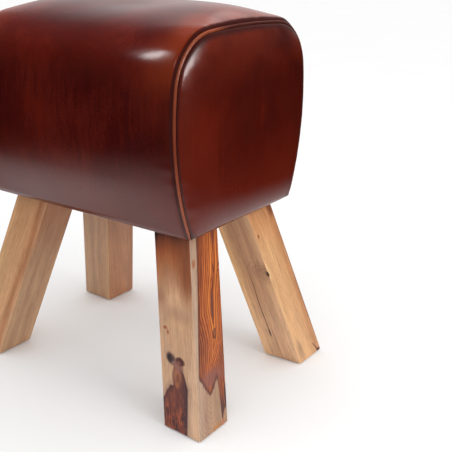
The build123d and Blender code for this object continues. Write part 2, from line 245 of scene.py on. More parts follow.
class Graph:
    """A material's node tree, written as expressions."""

    def __init__(self, name):
        self.material = bpy.data.materials.new(name)
        self.material.use_nodes = True
        self.tree = self.material.node_tree
        self.tree.nodes.clear()
        self.shader = self.add("ShaderNodeBsdfPrincipled")
        output = self.add("ShaderNodeOutputMaterial")
        self.tree.links.new(self.shader.outputs["BSDF"], output.inputs["Surface"])
        self.place = self.add("ShaderNodeTexCoord").outputs["Object"]

    def add(self, kind, **settings):
        node = self.tree.nodes.new(kind)
        for name, value in settings.items():
            setattr(node, name, value)
        return node

    def put(self, value, socket):
        """Links a field or a socket, or sets a plain value."""
        if isinstance(value, Field):
            value = value.value
        if isinstance(value, bpy.types.NodeSocket):
            self.tree.links.new(value, socket)
        elif hasattr(value, "__len__") and len(value) == 3 and socket.type == "RGBA":
            socket.default_value = (*value, 1.0)
        else:
            socket.default_value = value

    def fill(self, node, **inputs):
        """Puts values into a node's inputs; underscores in their names stand for spaces."""
        for name, value in inputs.items():
            self.put(value, node.inputs[name.replace("_", " ")])

    def set(self, **inputs):
        """Sets the shader's inputs."""
        self.fill(self.shader, **inputs)

    def math(self, kind, *values):
        node = self.add("ShaderNodeMath", operation=kind)
        for value, socket in zip(values, node.inputs):
            self.put(value, socket)
        return Field(self, node.outputs[0])

    def split(self, vector):
        node = self.add("ShaderNodeSeparateXYZ")
        self.put(vector, node.inputs[0])
        return [Field(self, node.outputs[k]) for k in range(3)]

    def join(self, x, y, z):
        node = self.add("ShaderNodeCombineXYZ")
        self.fill(node, X=x, Y=y, Z=z)
        return node.outputs[0]

    def stretch(self, vector, scale):
        node = self.add("ShaderNodeMapping")
        self.fill(node, Vector=vector, Scale=scale)
        return node.outputs[0]

    def noise(self, vector, scale, detail=2.0, roughness=0.5, distortion=0.0):
        node = self.add("ShaderNodeTexNoise")
        self.fill(node, Vector=vector, Scale=scale, Detail=detail)
        self.fill(node, Roughness=roughness, Distortion=distortion)
        return Field(self, node.outputs["Fac"])

    def cells(self, vector, scale, feature="F1"):
        node = self.add("ShaderNodeTexVoronoi", feature=feature)
        self.fill(node, Vector=vector, Scale=scale)
        return Field(self, node.outputs["Distance"])

    def mix(self, share, first, second, blend="MIX"):
        node = self.add("ShaderNodeMix", data_type="RGBA", blend_type=blend)
        self.put(share, node.inputs[0])
        self.put(first, node.inputs[6])
        self.put(second, node.inputs[7])
        return node.outputs[2]

    def ramp(self, field, stops):
        node = self.add("ShaderNodeValToRGB")
        self.put(field, node.inputs["Fac"])
        elements = node.color_ramp.elements
        for element, (position, colour) in zip(elements, (stops[0], stops[-1])):
            element.position = position
            element.color = (*colour, 1)
        for position, colour in stops[1:-1]:
            elements.new(position).color = (*colour, 1)
        return node.outputs["Color"]

    def curve(self, field, *places):
        """A value that follows a field along given points, each (field, value), -1 to 1."""
        node = self.add("ShaderNodeFloatCurve")
        line = node.mapping.curves[0]
        ends = [((x + 1) / 2, (y + 1) / 2) for x, y in places]
        line.points[0].location, line.points[1].location = ends[0], ends[-1]
        for x, y in ends[1:-1]:
            line.points.new(x, y)
        node.mapping.update()
        self.put(field * 0.5 + 0.5, node.inputs["Value"])
        return Field(self, node.outputs[0]) * 2 - 1

    def bump(self, height, distance, strength=1.0, under=None):
        node = self.add("ShaderNodeBump")
        self.fill(node, Strength=strength, Distance=distance, Height=height)
        if under is not None:
            self.fill(node, Normal=under)
        return node.outputs["Normal"]


def srgb(red, green, blue):
    """A colour given as 0 to 255 display values, made linear."""
    values = [c / 255 for c in (red, green, blue)]
    return tuple(c / 12.92 if c <= 0.04045 else ((c + 0.055) / 1.055) ** 2.4 for c in values)


# ---------- leather

# painted shade: the dark colour laid into the seam's grooves and on the piping under the wrap
GROOVE_SHADE = (0.036, 0.0020, 0.0005)


def leather(name, tints, clouding=1.5, shoulder=0.0, front=0.0, groove=None):
    """Glazed, hand-rubbed leather: clouded dye, lighter towards its edges by wear and painted light.

    tints are the dark, middle and warm dye and the tint by the seam. shoulder and front say how
    much lighter and warmer the dye is painted along the shoulders and towards the front, partly
    wear and partly painted light; front also paints the upper part darker, as painted shade.
    groove is (x, start, end, more): from x plus start to x plus end the leather dives into the
    seam, where its colour is painted dark as shade, and more is how much further out this painted
    shade lies on top. Without a groove the top, from the middle back, is painted dark as the shade
    of the wrap that overhangs it."""
    dark, middle, warm, seam_tint = tints
    g = Graph(name)
    x, y, z = g.split(g.place)
    clouds = g.noise(g.stretch(g.place, (1.0, 1.0, 0.6)), 9.0, 4.0, 0.6, 0.4)
    streaks = g.noise(g.stretch(g.place, (1.0, 1.0, 0.10)), 150.0, 3.0, 0.6)
    specks = g.noise(g.place, 420.0, 2.0, 0.7)
    mottle = (clouds - 0.5) * clouding + (streaks - 0.5) * 0.50 + (specks - 0.5) * 0.32 + 0.5
    colour = g.ramp(mottle, ((0.15, dark), (0.5, middle), (0.9, warm)))
    # The dye is painted lighter and warmer on the shoulders, low down and at the front: partly wear,
    # partly painted light.
    high_up = z.step(0.405, 0.445) * z.step(0.482, 0.455) * shoulder
    low_down = z.step(0.365, 0.265)
    in_front = y.step(-0.035, -0.105) * front
    wear_and_painted_light = high_up.most(low_down).most(in_front) * (clouds * 0.5 + 0.4)
    colour = g.mix(wear_and_painted_light, colour, warm)
    # painted shade: the upper part of the panel is darkened
    colour = g.mix(z.step(0.37, 0.44) * front * 0.8, colour, dark)
    from_seam = abs(x) - END_X
    by_seam = from_seam.step(-0.060, -0.004) * from_seam.step(0.022, 0.006)
    # A lighter warm tint by the seam, stronger up high: partly rubbed wear, partly painted light.
    rubbed = by_seam * g.noise(g.place, 16.0, 3.0).step(0.20, 0.60)
    colour = g.mix(rubbed * (z.step(0.40, 0.44) * 0.6 + 0.15), colour, seam_tint)
    if groove:
        where, start, end, more = groove
        # painted shade where the leather dives into the seam, reaching further out on top
        in_shade = (abs(x) - where - z.step(0.435, 0.462) * more).step(start, end)
        painted_shade = in_shade * 0.92
    else:
        # painted shade on the piping's top, under the overhanging wrap
        in_shade = z.step(0.455, 0.467) * y.step(-0.075, -0.03)
        painted_shade = in_shade * 0.85
    patchy = g.noise(g.place, 24.0, 3.0, 0.6)
    g.set(
        Base_Color=g.mix(painted_shade, colour, GROOVE_SHADE),
        Roughness=patchy * 0.08 + specks * 0.06 + in_shade * 0.1 + 0.14,
        Specular_IOR_Level=0.5,
    )
    pebbles = g.cells(g.place, 850.0, "SMOOTH_F1")
    pores = g.noise(g.place, 1500.0, 2.0)
    surface = g.bump(pebbles + pores * 0.4, 0.00005, 0.6)
    creases = g.noise(g.stretch(g.place, (1.0, 1.0, 0.5)), 60.0, 4.0, 0.55, 0.6)
    g.set(Normal=g.bump(creases, 0.0003, 0.35, surface))
    return g.material


# ---------- the leather cushions


def wander(x, y, z, scale, seed):
    """Smooth noise from -1 to 1, at a place on the body."""
    return noise.noise(Vector((x * scale + seed, y * scale, z * scale)))


def roll(distance, reach, power=2.2):
    """A rounded rise from 0 at an edge to 1 at a distance from it."""
    share = 1 - min(distance / reach, 1)
    return (1 - share**power) ** (1 / power)


def wrap_offset(x, y, z):
    """How far the wrap stands off the plain outline: pillow by the seam, puckers, slack."""
    from_seam = END_X - abs(x)
    low_down = smoothstep(0.0, 0.07, z - BODY_BOTTOM)
    on_top = smoothstep(0.46, 0.478, z)
    height = WRAP_PILLOW * (0.3 + 0.7 * low_down) * (1 - on_top) + TOP_PILLOW * on_top
    pillow = height * roll(from_seam, WRAP_ROLL + (TOP_ROLL - WRAP_ROLL) * on_top)
    pucker = WRAP_PUCKER * wander(0, y, z, 95.0, math.copysign(3.0, x)) * math.exp(-from_seam / 0.010)
    slack = WRAP_SLACK * wander(x, y, z, 11.0, 7.0) * smoothstep(0, 0.03, from_seam)
    along = (x - DENT_MIDDLE[0]) / DENT_REACH[0]
    across = (y - DENT_MIDDLE[1]) / DENT_REACH[1]
    dent = SEAT_DENT * math.exp(-(along**2) - across**2) * smoothstep(0.45, 0.49, z)
    power = SWELL_POWER + (TOP_SWELL_POWER - SWELL_POWER) * on_top
    swell = WRAP_SWELL * (1 - abs(x / END_X) ** power) * low_down
    dive = WRAP_DIVE * math.exp(-from_seam / 0.001)
    return pillow + swell - dive + pucker + slack - dent


def wrap_points():
    """The wrap's outer surface: stations along X, each a section from hem to hem."""
    stations = END_X * np.sin(np.linspace(-1, 1, 161) * math.pi / 2)
    rows = []
    for x in stations:
        swell = 1 - abs(x / END_X) ** SWELL_POWER
        top = SEAM_TOP + swell * (BODY_TOP - SEAM_TOP - TOP_PILLOW - WRAP_SWELL)
        widening = MID_HALF_WIDTH - SEAM_HALF_WIDTH - WRAP_PILLOW - WRAP_SWELL
        half_width = SEAM_HALF_WIDTH + swell * max(widening, 0)
        section = resample(whole_outline(top, half_width), 240)
        outward = normals_2d(section)
        offsets = np.array([wrap_offset(x, y, z) for y, z in section])
        rows.append(round_under(section + outward * offsets[:, None]))
    return stations, np.array(rows)


def round_under(section):
    """Adds the rounded bottom edges and the hems turned in under the body."""
    corner = section[-1]
    turned = []
    for share in np.linspace(0, 1, 7)[1:]:
        angle = share * math.pi / 2
        y = corner[0] - BOTTOM_EDGE_RADIUS * (1 - math.cos(angle)) - HEM_TUCK * share
        turned.append((y, BODY_BOTTOM + BOTTOM_EDGE_RADIUS * (1 - math.sin(angle))))
    for share in np.linspace(0, 1, 6)[1:]:
        turned.append((turned[5][0] - share * (HEM_WIDTH - BOTTOM_EDGE_RADIUS), BODY_BOTTOM))
    turned = np.array(turned)
    body = resample(section[section[:, 1] > BODY_BOTTOM + BOTTOM_EDGE_RADIUS], 228)
    return np.vstack([turned[::-1] * (-1, 1), body, turned])


def make_wrap(material):
    """The hide over the front, the top and the back, hemmed underneath."""
    stations, rows = wrap_points()
    points = [(x, *yz) for x, row in zip(stations, rows) for yz in row]
    faces = grid_faces(*rows.shape[:2])
    return thicken(new_mesh("leather_wrap_cover", points, faces, material), LEATHER)


def panel_height(side_distance, bottom_distance):
    """How far the end panel stands out, from its distance to the welt and to the bottom edge."""
    side_rise = roll(side_distance, PANEL_SIDE_ROLL, 2.0)
    bottom_rise = roll(bottom_distance, PANEL_BOTTOM_ROLL, 2.1)
    crown = smoothstep(0.0, 0.11, side_distance) * smoothstep(-0.04, 0.13, bottom_distance)
    return (PANEL_FACE_X - PANEL_FOOT_X) * side_rise * bottom_rise * (0.84 + 0.16 * crown)


def panel_rings(rim, middle, count):
    """Copies of the rim that shrink towards the middle, closer together near the rim."""
    shares = 1 - np.linspace(0, 1, count, endpoint=False) ** 1.6
    return np.array([middle + (rim - middle) * share for share in shares])


def make_panel(side, name, material):
    """The padded end: pushed out from the seam, its rim rolled back to the welt and under."""
    arch = resample(whole_outline(SEAM_TOP, SEAM_HALF_WIDTH, PANEL_RIM_INSET), 260)
    arch = arch[arch[:, 1] > BODY_BOTTOM + 0.001]
    low_y = np.linspace(arch[-1, 0], arch[0, 0], 90)[1:-1]
    base = np.column_stack([low_y, np.full(len(low_y), BODY_BOTTOM)])
    rim = np.vstack([arch, base])
    rings = panel_rings(rim, np.array(PANEL_MIDDLE), 80)
    flat = rings.reshape(-1, 2)
    points = []
    for (y, z), reach in zip(flat, distance_to(flat, arch)):
        height = panel_height(reach, z - BODY_BOTTOM)
        slack = wander(side * 0.2, y, z, 13.0, 21.0 * side) * smoothstep(0, 0.03, reach)
        pucker = wander(side, y, z, 80.0, 5.0) * math.exp(-reach / 0.010)
        loose = (slack * PANEL_SLACK + pucker * PANEL_PUCKER) * min(1.0, height / 0.004)
        points.append((side * (PANEL_FOOT_X + height + loose), y, z))
    faces = grid_faces(len(rings), len(rim), close_columns=True)
    faces.append(tuple(range(len(points) - len(rim), len(points))))
    first_hem = len(points)
    points += [(side * (END_X - PANEL_HEM), y, z) for y, z in base]
    start = len(arch)
    faces += [
        (start + k + 1, start + k, first_hem + k, first_hem + k + 1) for k in range(len(base) - 1)
    ]
    piece = new_mesh(f"end_panel_{name}", points, faces, material)
    fix_normals(piece)
    return thicken(piece, PANEL_LEATHER)


def distance_to(points, line):
    """Distance from each point to a polyline, in the plane."""
    start, end = line[:-1], line[1:]
    step = end - start
    length = (step**2).sum(1)
    nearest = np.full(len(points), 1e9)
    for a, d, l2 in zip(start, step, length):
        t = np.clip(((points - a) @ d) / l2, 0, 1)
        gap = np.linalg.norm(points - (a + t[:, None] * d), axis=1)
        nearest = np.minimum(nearest, gap)
    return nearest


def fix_normals(piece):
    """Turns all the faces outwards."""
    mesh = bmesh.new()
    mesh.from_mesh(piece.data)
    bmesh.ops.recalc_face_normals(mesh, faces=mesh.faces)
    mesh.to_mesh(piece.data)
    mesh.free()


def make_welt(side, name, material):
    """The piping: leather drawn tight round a cord, slightly wrinkled, thinner at its ends."""
    path = resample(whole_outline(SEAM_TOP, SEAM_HALF_WIDTH, WELT_SINK), 620)
    outward = normals_2d(path)
    around = 20
    points = []
    for k, ((y, z), normal) in enumerate(zip(path, outward)):
        from_end = min(k, len(path) - 1 - k) / len(path)
        taper = 0.6 + 0.4 * smoothstep(0.0, 0.02, from_end)
        for j in range(around):
            angle = 2 * math.pi * j / around
            wrinkle = 0.04 * math.sin(k * 1.05 + angle * 1.5) + 0.06 * wander(0, y, z, 60.0, 11.0)
            radius = WELT_SHOWN_RADIUS * taper * (1 + wrinkle)
            out = math.cos(angle) * radius
            x = END_X + WELT_SHOWN_RADIUS + math.sin(angle) * radius
            points.append((side * x, y + normal[0] * out, z + normal[1] * out))
    faces = grid_faces(len(path), around, close_columns=True)
    faces.append(tuple(range(around))[::-1])
    faces.append(tuple(range(len(points) - around, len(points))))
    piece = new_mesh(f"piping_{name}", points, faces, material)
    fix_normals(piece)
    return piece


# ---------- leg wood


def leg_axes(node, side_x, side_y):
    """Where a leg's centre line meets the floor and how far it leans in, along X and Y."""
    low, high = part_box(node)
    axes = []
    for start, end, side in ((low.x, high.x, side_x), (low.y, high.y, side_y)):
        foot = (end if side > 0 else start) - side * LEG_HALF
        axes.append((foot, side * (end - start - 2 * LEG_HALF)))
    return axes, high.z


class Stick:
    """Places on a leg: u along X and v along Y from -1 to 1, w from 0 at the seat to 1 at the foot.

    on_x_face is 1 on the faces that look along X; the other fields are patterns of the grain."""

    def __init__(self, g, node, side_x, side_y):
        x, y, z = g.split(g.place)
        axes, height = leg_axes(node, side_x, side_y)
        rise = z / height
        self.g = g
        from_axis = [here - foot + rise * lean for here, (foot, lean) in zip((x, y), axes)]
        self.local = g.join(*from_axis, z)
        self.waver = self.drawn(0.25, 38.0, 3.0) - 0.5
        self.u = from_axis[0] / LEG_HALF
        self.v = from_axis[1] / LEG_HALF
        self.w = 1 - z / BODY_BOTTOM
        normal = g.split(g.add("ShaderNodeTexCoord").outputs["Normal"])
        self.on_x_face = (abs(normal[0]) - abs(normal[1])).step(-0.1, 0.1)
        self.streaks = self.drawn(0.05, 270.0, 4.0, 0.6)
        self.fibres = self.drawn(0.028, 1000.0, 2.0)
        self.pores = self.drawn(0.05, 1300.0, 1.0).step(0.60, 0.70) * self.streaks.step(0.35, 0.6)
        self.patches = self.drawn(0.4, 70.0, 3.0)
        self.grain = self.drawn(0.035, 420.0, 5.0, 0.75).step(0.34, 0.66)
        self.flecks = self.drawn(0.10, 560.0, 3.0, 0.7).step(0.57, 0.70)
        self.clouds = self.drawn(0.5, 55.0, 4.0, 0.6).step(0.32, 0.68)

    def drawn(self, squeeze, *settings):
        """Noise drawn out along the leg; the smaller squeeze is, the longer its streaks."""
        return self.g.noise(self.g.stretch(self.local, (1, 1, squeeze)), *settings)

    def spot(self, across, middle, down, half_width, half_height):
        """Distance from the middle of an oval, 1 at its rim."""
        a = (across + self.patches * 0.22 - 0.11 - middle) / half_width
        d = (self.w + self.streaks * 0.02 - 0.01 - down) / half_height
        return (a.squared() + d.squared()).root()

    def dye(self, colour, mask, *tint):
        """Lays a display colour over another where mask is 1."""
        return self.g.mix(mask, colour, srgb(*tint))

    def stains(self, colour, across, *ovals):
        """Dyes ovals: middle (across, down), half sizes, red, green, blue, softness of the rim."""
        for *oval, red, green, blue, soft in ovals:
            mask = self.spot(across, *oval).step(1 + soft / 2, 1 - soft / 2)
            colour = self.dye(colour, mask, red, green, blue)
        return colour

    def line(self, colour, distance, width, tint, between, soft=0.03):
        """A thin mark where distance is 0, between two heights."""
        mask = abs(distance).step(width, width * 0.3)
        mask = mask * self.w.step(between[0] - soft, between[0] + soft)
        mask = mask * self.w.step(between[1] + soft, between[1] - soft)
        return self.dye(colour, mask, *tint)

    def finish(self, *faces):
        """Joins the colours of the two pairs of faces, then adds fibres, pores and lacquer.

        faces are the colour of the faces that look along Y, then of those that look along X."""
        g = self.g
        colour = g.mix(self.on_x_face, *faces)
        shade = self.grain * 0.20 + self.fibres.step(0.3, 0.7) * 0.10 + self.clouds * 0.10 + 0.76
        colour = g.mix(1.0, colour, shade.value, "MULTIPLY")
        colour = self.dye(colour, self.flecks * 0.30, 112, 68, 44)
        colour = self.dye(colour, self.pores * 0.42, 95, 55, 35)
        g.set(Base_Color=colour, Specular_IOR_Level=0.4, Coat_Weight=0.10, Coat_Roughness=0.3)
        g.set(Roughness=self.streaks * 0.16 + self.patches * 0.12 + 0.32)
        height = self.fibres * 0.5 + self.streaks * 0.4 + self.grain * 0.3 - self.pores * 0.9
        g.set(Normal=g.bump(height, 0.00018, 0.5))
        return g.material


def tones(g, field, *stops):
    """A colour ramp over a field from -1 to 1; each stop is (field, red, green, blue)."""
    return g.ramp(field * 0.5 + 0.5, [((place + 1) / 2, srgb(*tint)) for place, *tint in stops])


def near_leg_front(g, s):
    """Sapwood that darkens to burnt brown under the seat, knots, and heartwood at the foot.
    The darkening is partly stain and partly painted shade, for the body's shadow and the leather's
    red bounce.
    """
    u, w = s.u, s.w
    # painted shade: towards the seat the colour runs to burnt brown and near black, for the body's
    # shadow and the leather's red bounce, over a darker stain
    stain_and_shade = w + s.streaks * 0.07 - 0.035 + s.waver * 0.10 - (u + 1).step(0.9, 0.0) * 0.025
    front = tones(
        g, stain_and_shade * 2 - 1,
        (-1.0, 28, 10, 7), (-0.95, 54, 20, 10), (-0.87, 116, 52, 24), (-0.76, 150, 74, 32),
        (-0.64, 168, 98, 54), (-0.50, 178, 122, 86), (-0.32, 204, 158, 120),
        (-0.10, 200, 156, 118), (0.15, 196, 152, 118), (1.0, 204, 164, 126),
    )
    front = s.stains(
        front, u,
        (0.75, 0.20, 0.40, 0.14, 138, 74, 40, 1.6),
        (-0.8, 0.36, 0.25, 0.05, 168, 120, 90, 1.6),
        (0.1, 0.42, 0.9, 0.03, 184, 140, 108, 1.6),
    )
    grey = s.patches.step(0.45, 0.7) * w.step(0.3, 0.5)
    front = s.dye(front, grey * 0.6, 182, 144, 116)
    strip = g.curve(w, (0, 1), (0.12, 1), (0.4, 0.93), (0.6, 0.80), (0.72, 0.52), (1, 0.40))
    pale = (u - strip + s.waver * 0.1).step(-0.04, 0.06)
    front = s.dye(front, pale * 0.8, 206, 166, 134)
    front = s.stains(
        front, u,
        (-0.93, 0.492, 0.035, 0.010, 70, 40, 26, 0.5),
        (-0.62, 0.505, 0.09, 0.008, 158, 82, 50, 1.0),
        (-0.50, 0.522, 0.05, 0.012, 150, 76, 46, 1.0),
    )

    top = g.curve(
        u, (-1, 0.845), (-0.78, 0.82), (-0.52, 0.775), (-0.29, 0.74), (-0.24, 0.68),
        (-0.05, 0.665), (0.14, 0.67), (0.3, 0.70), (0.45, 0.75), (1, 0.80),
    )
    right = g.curve(w, (0, 0.62), (0.7, 0.54), (0.85, 0.45), (1, 0.36))
    ragged = (s.streaks - 0.5) * 0.035 + s.waver * 0.05
    into = (w - top + ragged).least((right - u + s.waver * 0.2) * 0.15)
    halo = into.step(-0.045, 0.0) * w.step(0.60, 0.70)
    front = s.dye(front, halo * 0.5, 150, 112, 98)
    deep = tones(
        g, s.drawn(0.30, 150.0, 4.0, 0.65, 1.4) * 2 - 1,
        (-0.32, 56, 26, 26), (-0.12, 98, 42, 30), (0.04, 126, 56, 36), (0.20, 166, 82, 42),
        (0.40, 184, 100, 52),
    )
    deep = s.dye(deep, w.step(0.93, 0.84) * 0.65, 108, 52, 42)
    deep = s.dye(deep, (u + s.waver * 0.6).step(0.0, 0.42) * 0.75, 66, 36, 42)
    deep = s.dye(deep, (u + s.waver * 0.4).step(-0.80, -0.98) * 0.6, 60, 28, 30)
    deep = s.dye(deep, into.step(0.05, 0.008) * 0.65, 62, 34, 40)
    front = g.mix(into.step(0.0, 0.010), front, deep)

    return s.stains(
        front, u,
        (-0.05, 0.725, 0.32, 0.060, 104, 56, 44, 0.5),
        (-0.07, 0.715, 0.21, 0.040, 164, 100, 70, 1.2),
        (-0.02, 0.735, 0.10, 0.030, 128, 70, 46, 0.9),
        (-0.10, 0.765, 0.12, 0.014, 160, 92, 58, 1.3),
        (0.00, 0.672, 0.28, 0.024, 140, 92, 78, 0.8),
        (0.10, 0.645, 0.28, 0.020, 88, 40, 34, 0.5),
        (0.02, 0.655, 0.12, 0.010, 132, 80, 64, 1.2),
        (-0.40, 0.645, 0.22, 0.028, 84, 54, 54, 0.8),
        (-0.46, 0.645, 0.11, 0.018, 48, 28, 32, 1.2),
        (-0.28, 0.66, 0.07, 0.008, 136, 100, 90, 1.0),
    )


def near_leg_side(g, s):
    """Red heartwood in long nested V lines round a knot, ending in a ragged tongue and a spike."""
    v, w = s.v, s.w
    heart_line = g.curve(
        w, (0, 0.5), (0.06, 0.49), (0.22, 0.45), (0.40, 0.22), (0.53, 0.29), (0.62, 0.14),
        (0.76, -0.18), (1, -0.2),
    )
    closing = (w - 0.417).most(0) * 1.52
    rings = abs(v - heart_line) + closing + s.waver * 0.30 + (s.streaks - 0.5) * 0.10
    bands = tones(
        g, rings * 2 - 1,
        (-1.0, 136, 58, 26), (-0.80, 180, 88, 29), (-0.64, 216, 122, 45), (-0.46, 165, 80, 29),
        (-0.28, 197, 104, 40), (-0.04, 159, 74, 31), (0.20, 182, 92, 40), (0.50, 153, 70, 33),
        (1.0, 131, 58, 31),
    )
    line = (rings * 7.0 + s.patches).wave().step(0.80, 0.98)
    bands = s.dye(bands, line * 0.80, 84, 30, 16)
    glow = (rings * 7.0 + s.patches + 0.40).wave().step(0.70, 1.0) * (s.grain * 0.5 + 0.3)
    bands = s.dye(bands, glow * 0.6, 224, 138, 58)
    wedge = (0.13 - w - abs(v - 0.5 - s.waver * 0.1) * 0.45).step(0.0, 0.02)
    bands = s.dye(bands, wedge * 0.75, 124, 58, 46)
    bands = s.stains(
        bands, v,
        (0.23, 0.40, 0.09, 0.075, 112, 56, 44, 0.7),
        (0.45, 0.225, 0.055, 0.024, 96, 42, 28, 0.7),
        (0.80, 0.215, 0.03, 0.010, 58, 28, 20, 0.6),
        (0.74, 0.245, 0.03, 0.006, 70, 34, 22, 0.6),
        (0.30, 0.535, 0.13, 0.026, 92, 42, 28, 0.5),
        (0.30, 0.533, 0.085, 0.017, 150, 82, 44, 0.6),
        (-0.1, 0.735, 0.7, 0.04, 140, 82, 66, 1.4),
    )
    edge = g.curve(
        w, (0, -0.64), (0.3, -0.72), (0.5, -0.82), (0.66, -0.90), (0.8, -0.96), (1, -0.97)
    )
    tip = g.curve(
        v, (-1, 0.66), (-0.9, 0.70), (-0.6, 0.755), (-0.35, 0.795), (-0.18, 0.815), (0.05, 0.80),
        (0.34, 0.765), (0.42, 0.80), (0.5, 0.89), (0.60, 0.965), (0.72, 0.94), (1, 0.93),
    )
    inside = ((v - edge) * 0.35).least(tip - w + (s.fibres - 0.5) * 0.05 + s.waver * 0.03)
    bands = s.dye(bands, inside.step(0.045, 0.010) * 0.85, 78, 38, 34)
    bands = s.stains(
        bands, v,
        (0.60, 0.92, 0.14, 0.06, 88, 46, 42, 1.0),
        (0.92, 0.86, 0.09, 0.06, 44, 30, 38, 0.6),
        (0.94, 0.76, 0.07, 0.04, 176, 146, 124, 0.6),
    )
    sap = tones(
        g, v + s.waver * 0.5 + (s.streaks - 0.5) * 0.5,
        (-1.0, 178, 148, 124), (-0.7, 172, 138, 114), (-0.4, 162, 126, 102),
        (-0.1, 174, 136, 108), (0.2, 160, 124, 98), (0.6, 174, 138, 108), (1.0, 166, 126, 94),
    )
    # painted shade: the pale strip is darker at the top, under the seat
    sap = s.dye(sap, w.step(0.14, 0.0) * 0.6, 160, 112, 84)
    sap = s.stains(sap, v, (-0.9, 0.16, 0.12, 0.02, 164, 104, 70, 1.0))
    arcs = (s.spot(v, -0.1, 0.80, 0.9, 0.17) * 7 + s.waver * 2).wave().step(0.7, 1.0)
    sap = s.dye(sap, arcs * w.step(0.78, 0.86) * 0.30, 140, 102, 78)
    sap = s.stains(
        sap, v,
        (0.2, 1.0, 0.35, 0.03, 172, 116, 66, 1.2),
        (0.62, 0.985, 0.14, 0.02, 176, 112, 82, 1.0),
    )
    return g.mix(inside.step(0.0, 0.010), sap, bands)


def near_leg_wood():
    """Front right leg: pale in front, red heartwood at the side."""
    g = Graph("leg_wood_front_right")
    s = Stick(g, "leg_front_right", RIGHT, FRONT)
    return s.finish(near_leg_front(g, s), near_leg_side(g, s))


def back_leg_wood():
    """Back right leg: grey-brown in front with a swirl into an edge knot, light honey at the side."""
    g = Graph("leg_wood_back_right")
    s = Stick(g, "leg_back_right", RIGHT, BACK)
    u, v, w = s.u, s.v, s.w
    knot_w = 0.405
    to_knot = s.spot(u, 1.0, knot_w, 1.5, 0.09)
    pull = to_knot.step(1.0, 0.0) * (w - knot_w) * 2.5
    front = tones(
        g, u + s.waver * 0.5 + pull + (s.streaks - 0.5) * 0.25,
        (-1.0, 237, 186, 128), (-0.7, 224, 173, 122), (-0.4, 197, 147, 105),
        (-0.1, 179, 131, 94), (0.15, 202, 153, 113), (0.45, 184, 135, 101),
        (0.75, 211, 164, 122), (1.0, 222, 175, 132),
    )
    front = s.dye(front, w.step(0.45, 0.85) * 0.5, 231, 186, 147)
    smoke = to_knot.step(0.9, 0.1) * (s.patches * 0.9 + 0.25)
    front = s.dye(front, smoke * 0.8, 146, 100, 70)
    swirl = (to_knot * 5 + s.patches * 3.0).wave().step(0.70, 1.0) * to_knot.step(1.1, 0.5)
    front = s.dye(front, swirl * 0.35, 125, 84, 59)
    long_lines = (u * 3.2 + s.waver * 3 + pull * 3).wave().step(0.86, 1.0) * s.grain
    front = s.dye(front, long_lines * 0.35, 130, 84, 57)
    front = s.line(front, u + 0.22 + s.waver * 0.9, 0.05, (112, 68, 42), (0.44, 0.84))
    front = s.stains(front, u, (-0.20, 0.825, 0.05, 0.022, 81, 42, 32, 0.6))
    front = s.line(front, u - 0.02 + s.waver * 0.3, 0.035, (168, 118, 86), (0.80, 0.98))
    # painted shade: darker at the very top, under the seat
    front = s.dye(front, w.step(0.06, 0.0) * 0.6, 168, 107, 61)
    foot = s.patches.step(0.5, 0.62) * w.step(0.95, 1.0)
    front = s.dye(front, foot * 0.5, 157, 102, 63)

    side = tones(
        g, v + s.waver * 0.5 + (s.streaks - 0.5) * 0.5,
        (-1.0, 218, 169, 121), (-0.6, 209, 158, 109), (-0.2, 216, 165, 115),
        (0.2, 203, 152, 105), (0.5, 205, 152, 103), (0.75, 183, 124, 79), (0.9, 196, 141, 93),
        (1.0, 166, 107, 67),
    )
    side = s.dye(side, w.step(0.34, 0.05) * 0.7, 190, 124, 75)
    # painted shade: darker at the very top, under the seat
    side = s.dye(side, w.step(0.07, 0.0) * 0.8, 150, 86, 46)
    side = s.stains(
        side, v,
        (0.95, 0.05, 0.25, 0.06, 137, 77, 42, 1.2),
        (-0.66, 0.185, 0.06, 0.012, 131, 75, 42, 0.8),
    )
    brown_lines = (v * 4 + s.waver * 4).wave().step(0.84, 1.0) * s.grain * w.step(0.85, 0.5)
    side = s.dye(side, brown_lines * 0.35, 144, 90, 53)
    side = s.stains(
        side, v,
        (-0.93, knot_w - 0.012, 0.22, 0.045, 225, 180, 131, 0.8),
        (-0.97, knot_w + 0.003, 0.09, 0.016, 63, 36, 22, 0.5),
    )
    front = s.stains(front, u, (0.97, knot_w + 0.003, 0.12, 0.016, 74, 45, 28, 0.5))
    crack = v - 0.5 - (w - 0.925) * 4.2
    side = s.line(side, crack + s.waver * 0.15, 0.06, (96, 45, 28), (0.93, 0.985), 0.008)
    side = s.stains(
        side, v,
        (0.80, 0.985, 0.13, 0.010, 78, 36, 24, 0.5),
        (-0.6, 0.92, 0.2, 0.06, 179, 135, 99, 1.4),
    )
    return s.finish(front, side)


def striped_leg_wood(node, side_x, side_y, front_stops, side_stops, shade_tint):
    """A plainer leg: upright stripes on each face, painted darker under the seat as shade."""
    g = Graph("leg_wood_" + node[4:])
    s = Stick(g, node, side_x, side_y)
    front = tones(g, s.u + s.waver * 0.5, *front_stops)
    side = tones(g, s.v + s.waver * 0.6 + (s.streaks - 0.5) * 0.4, *side_stops)
    # painted shade: darker under the seat, most on the faces that look along X
    seat_shade = (s.w + s.patches * 0.3).step(0.75, 0.12)
    side = s.dye(side, seat_shade * 0.9, *shade_tint)
    front = s.dye(front, seat_shade * 0.35, *shade_tint)
    return s.finish(front, side)


